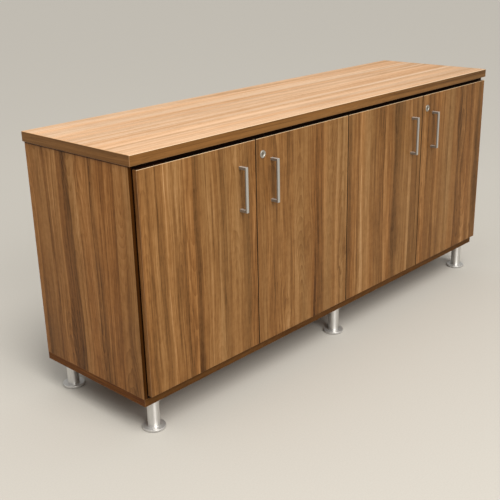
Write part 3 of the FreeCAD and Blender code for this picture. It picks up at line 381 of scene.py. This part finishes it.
def plastic(name, base, rough, light=1.35, grain=1400.0, height=0.00003):
    m, t, bsdf = start(name)
    tc = t.node("ShaderNodeTexCoord")
    n = t.noise(t.vmath("MULTIPLY", tc.outputs["Object"], (grain, grain, grain)), 1.0, 2.0, 0.55)
    s = t.noise(t.vmath("MULTIPLY", tc.outputs["Object"], (30.0, 30.0, 30.0)), 1.0, 3.0, 0.6)
    col = t.mix(t.remap(s, 0.35, 0.7, 0.0, 1.0), base, tuple(min(1.0, c * light) for c in base))
    t.put(bsdf.inputs["Base Color"], col)
    t.put(bsdf.inputs["Roughness"], t.remap(n, 0.3, 0.7, rough - 0.06, rough + 0.08))
    bump(t, bsdf, n, height, 0.5)
    return m


def assign(material, *names):
    for n in names:
        o = NODES[n]
        if not o.data.materials:
            o.data.materials.append(material)
        for i in range(len(o.data.materials)):
            o.data.materials[i] = material


# ------------------------------------------------------------- wood materials
# the tones across each leaf: 0.5 changes nothing, less is darker
P1 = [(0.000, 0.40), (0.020, 0.42), (0.045, 0.52), (0.070, 0.43), (0.095, 0.53), (0.118, 0.64), (0.135, 0.60), (0.146, 0.42), (0.20, 0.56),
      (0.262, 0.55), (0.275, 0.43), (0.36, 0.46), (0.385, 0.41), (0.44, 0.43), (0.478, 0.40), (0.492, 0.60), (0.54, 0.63), (0.60, 0.58),
      (0.655, 0.52), (0.70, 0.50), (0.72, 0.40), (0.755, 0.47), (0.78, 0.58), (0.84, 0.60), (0.875, 0.54), (0.91, 0.40), (0.95, 0.47),
      (0.985, 0.42), (1.000, 0.45)]
P2 = [(0.000, 0.50), (0.030, 0.42), (0.060, 0.52), (0.090, 0.44), (0.140, 0.52), (0.168, 0.37), (0.185, 0.46), (0.205, 0.60), (0.30, 0.56),
      (0.34, 0.47), (0.40, 0.54), (0.46, 0.50), (0.53, 0.56), (0.580, 0.56), (0.600, 0.36), (0.66, 0.33), (0.710, 0.37), (0.716, 0.60),
      (0.78, 0.56), (0.83, 0.47), (0.86, 0.54), (0.90, 0.50), (0.912, 0.34), (0.925, 0.40), (0.94, 0.57), (0.97, 0.45), (1.000, 0.52)]
P3 = [(0.000, 0.38), (0.030, 0.40), (0.045, 0.55), (0.095, 0.56), (0.108, 0.36), (0.130, 0.38), (0.142, 0.60), (0.20, 0.58), (0.24, 0.50),
      (0.28, 0.59), (0.345, 0.54), (0.358, 0.37), (0.42, 0.34), (0.482, 0.38), (0.490, 0.62), (0.54, 0.56), (0.60, 0.53), (0.62, 0.43),
      (0.68, 0.42), (0.71, 0.53), (0.75, 0.42), (0.79, 0.48), (0.82, 0.56), (0.87, 0.53), (0.90, 0.40), (0.95, 0.44), (1.000, 0.38)]
P4 = [(0.000, 0.56), (0.050, 0.57), (0.075, 0.50), (0.095, 0.38), (0.18, 0.40), (0.215, 0.54), (0.27, 0.57), (0.33, 0.49), (0.37, 0.57),
      (0.43, 0.50), (0.50, 0.53), (0.555, 0.60), (0.585, 0.55), (0.600, 0.40), (0.66, 0.42), (0.715, 0.37), (0.740, 0.60), (0.765, 0.50),
      (0.83, 0.46), (0.875, 0.57), (0.895, 0.42), (0.95, 0.38), (1.000, 0.46)]
PS = [(0.000, 0.66), (0.045, 0.64), (0.066, 0.44), (0.085, 0.52), (0.13, 0.47), (0.17, 0.55), (0.24, 0.57), (0.28, 0.46), (0.335, 0.45),
      (0.358, 0.45), (0.366, 0.28), (0.378, 0.56), (0.43, 0.47), (0.47, 0.46), (0.485, 0.38), (0.50, 0.55), (0.555, 0.56), (0.572, 0.35),
      (0.63, 0.30), (0.685, 0.32), (0.692, 0.62), (0.74, 0.60), (0.79, 0.55), (0.80, 0.40), (0.83, 0.55), (0.87, 0.48), (0.95, 0.42),
      (1.000, 0.46)]
DOOR_SPANS = {"1": (-0.899, -0.4525), "2": (-0.4485, -0.002), "3": (0.002, 0.4485), "4": (0.4525, 0.899)}
for num, prof, seed, weight, lift in (("1", P1, 2.37, 1.0, -0.02), ("2", P2, 8.13, 0.8, -0.02), ("3", P3, 14.59, 0.75, -0.03),
                                       ("4", P4, 21.71, 0.95, -0.055)):
    face = laminate("walnut_door_" + num, "x", "z", seed, profile=prof, span=DOOR_SPANS[num], weight=weight, lift=lift,
                    tint=(0.835, 0.888, 0.965))
    assign(face, "door_%s_panel" % num)
    # door edge bands: painted shade in the seams and on the top faces, painted highlight on the upper front arris
    band = laminate("walnut_door_band_" + num, "x", "z", seed, profile=prof, span=DOOR_SPANS[num], weight=weight, lift=lift,
                    side_across="y", side_along="z", side_axis=0, arris=0.25, rough=0.42, side_painted_shading=(1.00, 0.93, 0.88), seam_painted_shade=(0.11, 0.085, 0.075),
                    up_painted_shade=(0.10, 0.07, 0.06), top_arris_highlight=0.75, top_arris_highlight_colour=(0.80, 0.60, 0.38), tint=(0.835, 0.888, 0.965))
    assign(band, "door_%s_edge_bands" % num)

# painted shade: the side panels darken towards the bottom and carry a painted shadow line under the top board
assign(laminate("walnut_side_left", "y", "z", 33.2, profile=PS, span=(-0.211, 0.2575), lift=0.015, painted_falloff=[("z", 0.62, 0.12, 0.17)], shadow_line_z=0.7962), "side_panel_left")
assign(laminate("walnut_side_right", "y", "z", 41.7, profile=PS, span=(-0.211, 0.2575), lift=0.015, painted_falloff=[("z", 0.62, 0.12, 0.17)], shadow_line_z=0.7962), "side_panel_right")
# painted light falloff: the top darkens towards the right-hand end and lightens towards the front
assign(laminate("walnut_top", "y", "x", 52.9, PALE, contrast=1.28, rough=0.47, gloss=0.28, stretch=(2.4, 0.70), tint=(0.970, 1.038, 1.180),
                painted_falloff=[("x", 0.35, 0.95, 0.09), ("y", 0.00, -0.20, -0.055)]), "top_board")
# top edge bands: pale upward faces (painted sheen), darker left face, painted highlight on the upper front arris,
# painted falloff to the right
assign(laminate("walnut_top_band", "z", "x", 60.4, lift=-0.16, contrast=0.50, stretch=(2.3, 0.8), side_across="z", side_along="y", side_axis=0,
                arris=0.55, rough=0.42, edge_colour=(0.46, 0.30, 0.17), painted_falloff=[("x", 0.0, 0.9, 0.135)], tint=(0.98, 1.10, 1.21), side_painted_shading=(0.87, 0.85, 0.88), up_colours=PALE,
                top_arris_highlight=0.7, top_arris_highlight_colour=(0.80, 0.62, 0.43)), "top_edge_bands")
assign(laminate("walnut_base", "y", "x", 66.1, lift=-0.12, contrast=0.7), "base_panel")
# painted shade: the band is darkened and its side faces lightened back, so the front face under the doors reads as in
# shadow
assign(laminate("walnut_base_band", "z", "x", 71.8, lift=-0.32, contrast=0.35, side_across="z", side_along="y", side_axis=0,
                arris=0.30, rough=0.50, gloss=0.08, tint=(0.93, 0.92, 0.93), side_painted_shading=(1.60, 1.50, 1.44),
                painted_falloff=[("x", 0.0, -0.9, 0.06)]), "base_edge_bands")
# near-black carcass front bands: a dark edge band, made darker still as painted shade of the gaps around the doors
DARK = [(0.0, (0.018, 0.006, 0.001)), (0.5, (0.045, 0.0150, 0.0018)), (1.0, (0.080, 0.030, 0.005))]
assign(laminate("walnut_front_band", "x", "z", 77.3, DARK, rough=0.6, gloss=0.05, shade_in=0.9000), "carcass_front_bands")
inner = dict(lift=-0.03, contrast=0.75, rough=0.46)
assign(laminate("inner_upright", "y", "z", 84.6, **inner), "centre_partition")
assign(laminate("inner_flat", "y", "x", 88.2, **inner), "bottom_panel", "top_rail_front", "top_rail_back", "shelf_left",
       "shelf_right")
assign(laminate("inner_band", "z", "x", 91.5, **inner), "shelf_edge_bands")
assign(laminate("inner_back", "x", "z", 95.9, **inner), "back_panel")

BEECH = [(0.0, (0.42, 0.26, 0.13)), (0.5, (0.58, 0.40, 0.23)), (1.0, (0.70, 0.53, 0.34))]
assign(laminate("dowel_beech", "y", "x", 5.5, BEECH, rough=0.6), "carcass_dowels")

# ----------------------------------------------------------- metal and plastic
# pulls: painted light on the upper faces, painted shade on the flanks and undersides
assign(metal("satin_pull", (0.50, 0.49, 0.46), 0.38, (1.0, 1.0, 0.03), 0.04, dark=0.90, metallic=0.74,
             facing_painted_light=((1.70, 1.76, 1.86), 0.66, 0.40)), *["door_%s_handle" % k for k in "1234"])
assign(metal("satin_leg", (0.82, 0.81, 0.79), 0.36, (0.5, 0.5, 0.01), 0.02, dark=0.82, strength=0.12, turned=0.85), "front_leg_tubes", "back_leg_tubes")
assign(metal("satin_foot", (0.64, 0.63, 0.61), 0.42, (0.35, 0.35, 1.0), 0.04, dark=0.88, metallic=0.75, strength=0.3),
       "leg_feet", "leg_mounting_plates")
assign(metal("lock_nickel", (0.48, 0.455, 0.405), 0.50, (0.5, 1.0, 0.5), 0.05, spots=0.2), *["lock_%s_housing" % k for k in "24"])
assign(metal("lock_plug", (0.34, 0.31, 0.26), 0.48, (0.5, 1.0, 0.5), 0.06, spots=0.3), *["lock_%s_core" % k for k in "24"])
assign(metal("zinc_plate", (0.66, 0.67, 0.68), 0.33, (0.4, 0.4, 0.4), 0.08, spots=0.3),
       "shelf_pins", "carcass_screws", "plate_screws", "hinge_plates", "hinge_arms", "strike_plates",
       *["door_%s_handle_screws" % k for k in "1234"], *["door_%s_hinge_cups" % k for k in "1234"],
       *["lock_%s_nut" % k for k in "24"], *["lock_%s_cam" % k for k in "24"],
       *["bolt_%s_case" % k for k in "13"], *["bolt_%s_slider" % k for k in "13"])
assign(plastic("black_glide", (0.022, 0.022, 0.024), 0.55), "foot_glides")
assign(plastic("bumper_rubber", (0.030, 0.022, 0.016), 0.60), "door_bumpers")

# ---------------------------------------------------------------- stage, light
bpy.ops.mesh.primitive_plane_add(size=60.0, location=(0, 0, 0))
floor = bpy.context.active_object
floor.name = "studio_floor"
fm, ft, fb = start("studio_floor")
ftc = ft.node("ShaderNodeTexCoord")
fn = ft.noise(ft.vmath("MULTIPLY", ftc.outputs["Object"], (220.0, 220.0, 220.0)), 1.0, 3.0, 0.6)
ft.put(fb.inputs["Base Color"], ft.mix(ft.remap(fn, 0.3, 0.7, 0.0, 1.0), (0.455, 0.435, 0.395), (0.485, 0.464, 0.422)))
fb.inputs["Roughness"].default_value = 0.85
floor.data.materials.append(fm)

world = bpy.data.worlds.new("studio")
scene.world = world
world.use_nodes = True
wt = Tree(world.node_tree)
bg = world.node_tree.nodes["Background"]
wc = wt.node("ShaderNodeTexCoord")
wx, wy, wz = wt.xyz(wc.outputs["Generated"])
sky = wt.ramp(wz, [(0.0, (0.585, 0.552, 0.490)), (0.02, (0.585, 0.552, 0.490)), (0.16, (0.40, 0.385, 0.36)), (0.45, (0.33, 0.325, 0.315)),
                   (0.75, (0.80, 0.79, 0.77)), (1.0, (1.20, 1.19, 1.16))])
# the room is dimmer towards the right-hand end, but level with the floor at the horizon
sideways = wt.ramp(wt.remap(wx, -1.0, 1.0, 0.0, 1.0), [(0.0, 0.84), (0.5, 0.92), (1.0, 0.72)])
sideways = wt.mix(wt.remap(wz, 0.03, 0.16, 0.0, 1.0), (0.91, 0.91, 0.91), sideways)
wt.put(bg.inputs[0], wt.mix(1.0, sky, sideways, "MULTIPLY"))
bg.inputs[1].default_value = 1.0


def area(name, where, target, size, power, colour=(1.0, 0.97, 0.93)):
    l = bpy.data.lights.new(name, "AREA")
    l.shape = "RECTANGLE"
    l.size, l.size_y = size
    l.energy = power
    l.color = colour
    o = bpy.data.objects.new(name, l)
    scene.collection.objects.link(o)
    o.location = where
    o.rotation_euler = (Vector(target) - Vector(where)).to_track_quat("-Z", "Y").to_euler()
    return o


def sun(name, direction, angle, power, colour=(1.0, 0.97, 0.93)):
    l = bpy.data.lights.new(name, "SUN")
    l.angle = math.radians(angle)
    l.energy = power
    l.color = colour
    o = bpy.data.objects.new(name, l)
    scene.collection.objects.link(o)
    o.rotation_euler = Vector(direction).to_track_quat("-Z", "Y").to_euler()
    return o


sun("key", (0.08, 0.44, -0.89), 30.0, 1.7)
area("front", (-1.9, -4.4, 3.3), (-0.2, -0.2, 0.35), (2.9, 2.2), 178.0)
area("left", (-2.1, 0.0, 2.7), (-0.9, 0.0, 0.8), (1.1, 1.1), 9.0)

# --------------------------------------------------------------------- camera
yaw, pitch, roll = 0.8136, 0.3487, -0.0238
pos = Vector((-2.2261, -1.6506 - 0.2265, 1.3305))
f_px, cx, cy = 847.9, 250.0, 250.0
fwd = Vector((math.sin(yaw) * math.cos(pitch), math.cos(yaw) * math.cos(pitch), -math.sin(pitch)))
right = Vector((math.cos(yaw), -math.sin(yaw), 0.0))
up = right.cross(fwd)
r2 = right * math.cos(roll) + up * math.sin(roll)
u2 = up * math.cos(roll) - right * math.sin(roll)
cam = bpy.data.cameras.new("view")
cam.sensor_width = 36.0
cam.sensor_fit = "HORIZONTAL"
cam.lens = f_px * 36.0 / 500.0
cam.shift_x = 0.5 - cx / 500.0
cam.shift_y = cy / 500.0 - 0.5
cam.clip_start, cam.clip_end = 0.05, 200.0
co = bpy.data.objects.new("view", cam)
scene.collection.objects.link(co)
mat = Matrix.Identity(4)
for i, col in enumerate((r2, u2, -fwd)):
    for j in range(3):
        mat[j][i] = col[j]
mat.translation = pos
co.matrix_world = mat
scene.camera = co
